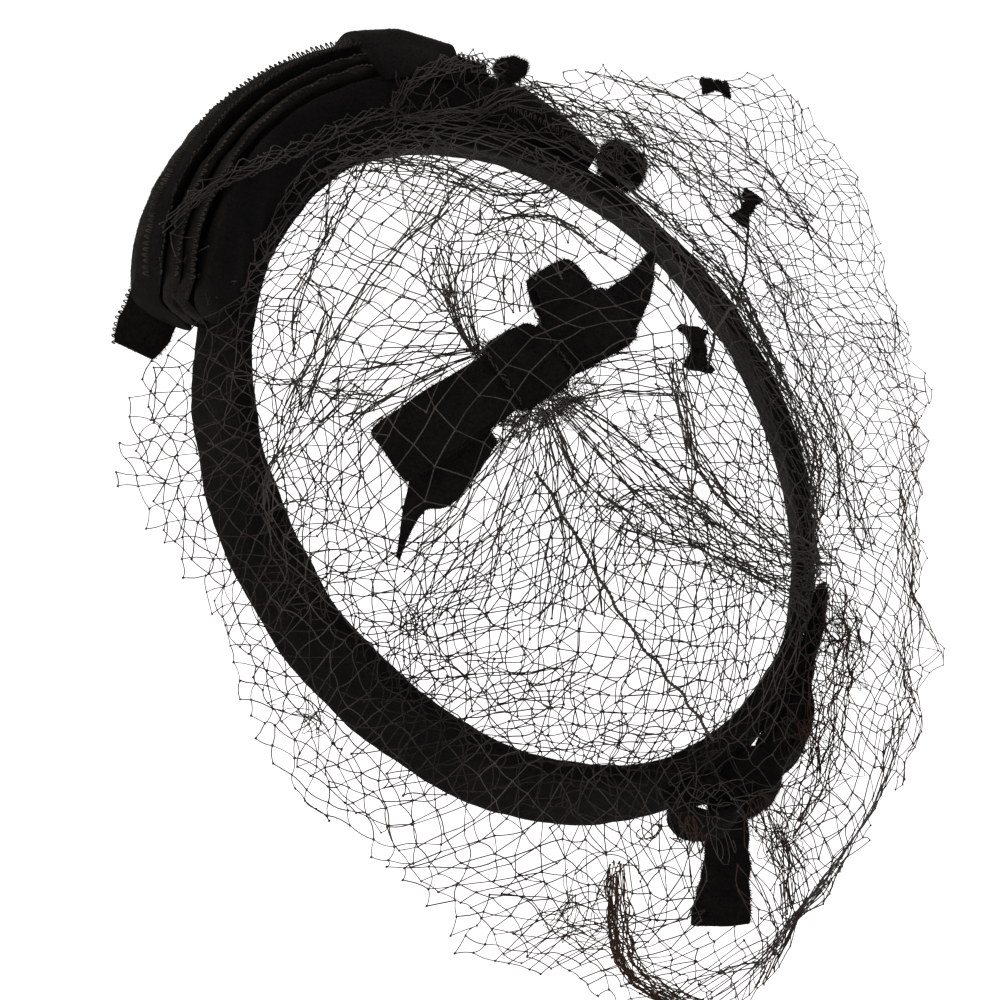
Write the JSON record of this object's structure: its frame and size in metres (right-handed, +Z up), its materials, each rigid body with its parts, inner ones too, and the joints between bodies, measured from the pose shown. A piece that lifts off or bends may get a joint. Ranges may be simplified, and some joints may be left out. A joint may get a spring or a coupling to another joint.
{
  "type": "bandeau hat",
  "caption": "Open-crown velvet bandeau hat: an oval padded band with a picot-edged ribbon coronet at the front, velvet bows, and a net veil over the crown.",
  "frame": {"origin": "middle of the head opening, level with the band's lower outer edge, where the hat sits on a head", "axes": "+Z up out of the crown, -Y to the front where the coronet stands, +X to the wearer's left"},
  "size_m": [0.2303, 0.2753, 0.0947],
  "materials": {
    "velvet": "black cotton velvet with a short fuzzy pile",
    "netting": "fine black-brown knotted net with diamond meshes"
  },
  "bodies": {
    "root": {"head_band": "velvet", "coronet_base": "velvet", "coronet_ribbon_inner": "velvet", "coronet_ribbon_middle": "velvet", "coronet_roll": "velvet", "coronet_fold": "velvet", "coronet_ribbon_end": "velvet", "coronet_knot": "velvet", "side_ball": "velvet", "left_ribbon_end": "velvet", "crown_bow_knot": "velvet", "crown_bow_loop_left": "velvet", "crown_bow_loop_right": "velvet", "crown_bow_loop_front": "velvet", "crown_bow_tail_left": "velvet", "crown_bow_tail_right": "velvet", "back_bow_knot": "velvet", "back_bow_loop_long": "velvet", "back_bow_loop_short": "velvet", "back_bow_tail": "velvet", "veil_bow_1": "velvet", "veil_bow_2": "velvet", "veil_bow_3": "velvet", "veil": "netting"}
  },
  "joints": []
}
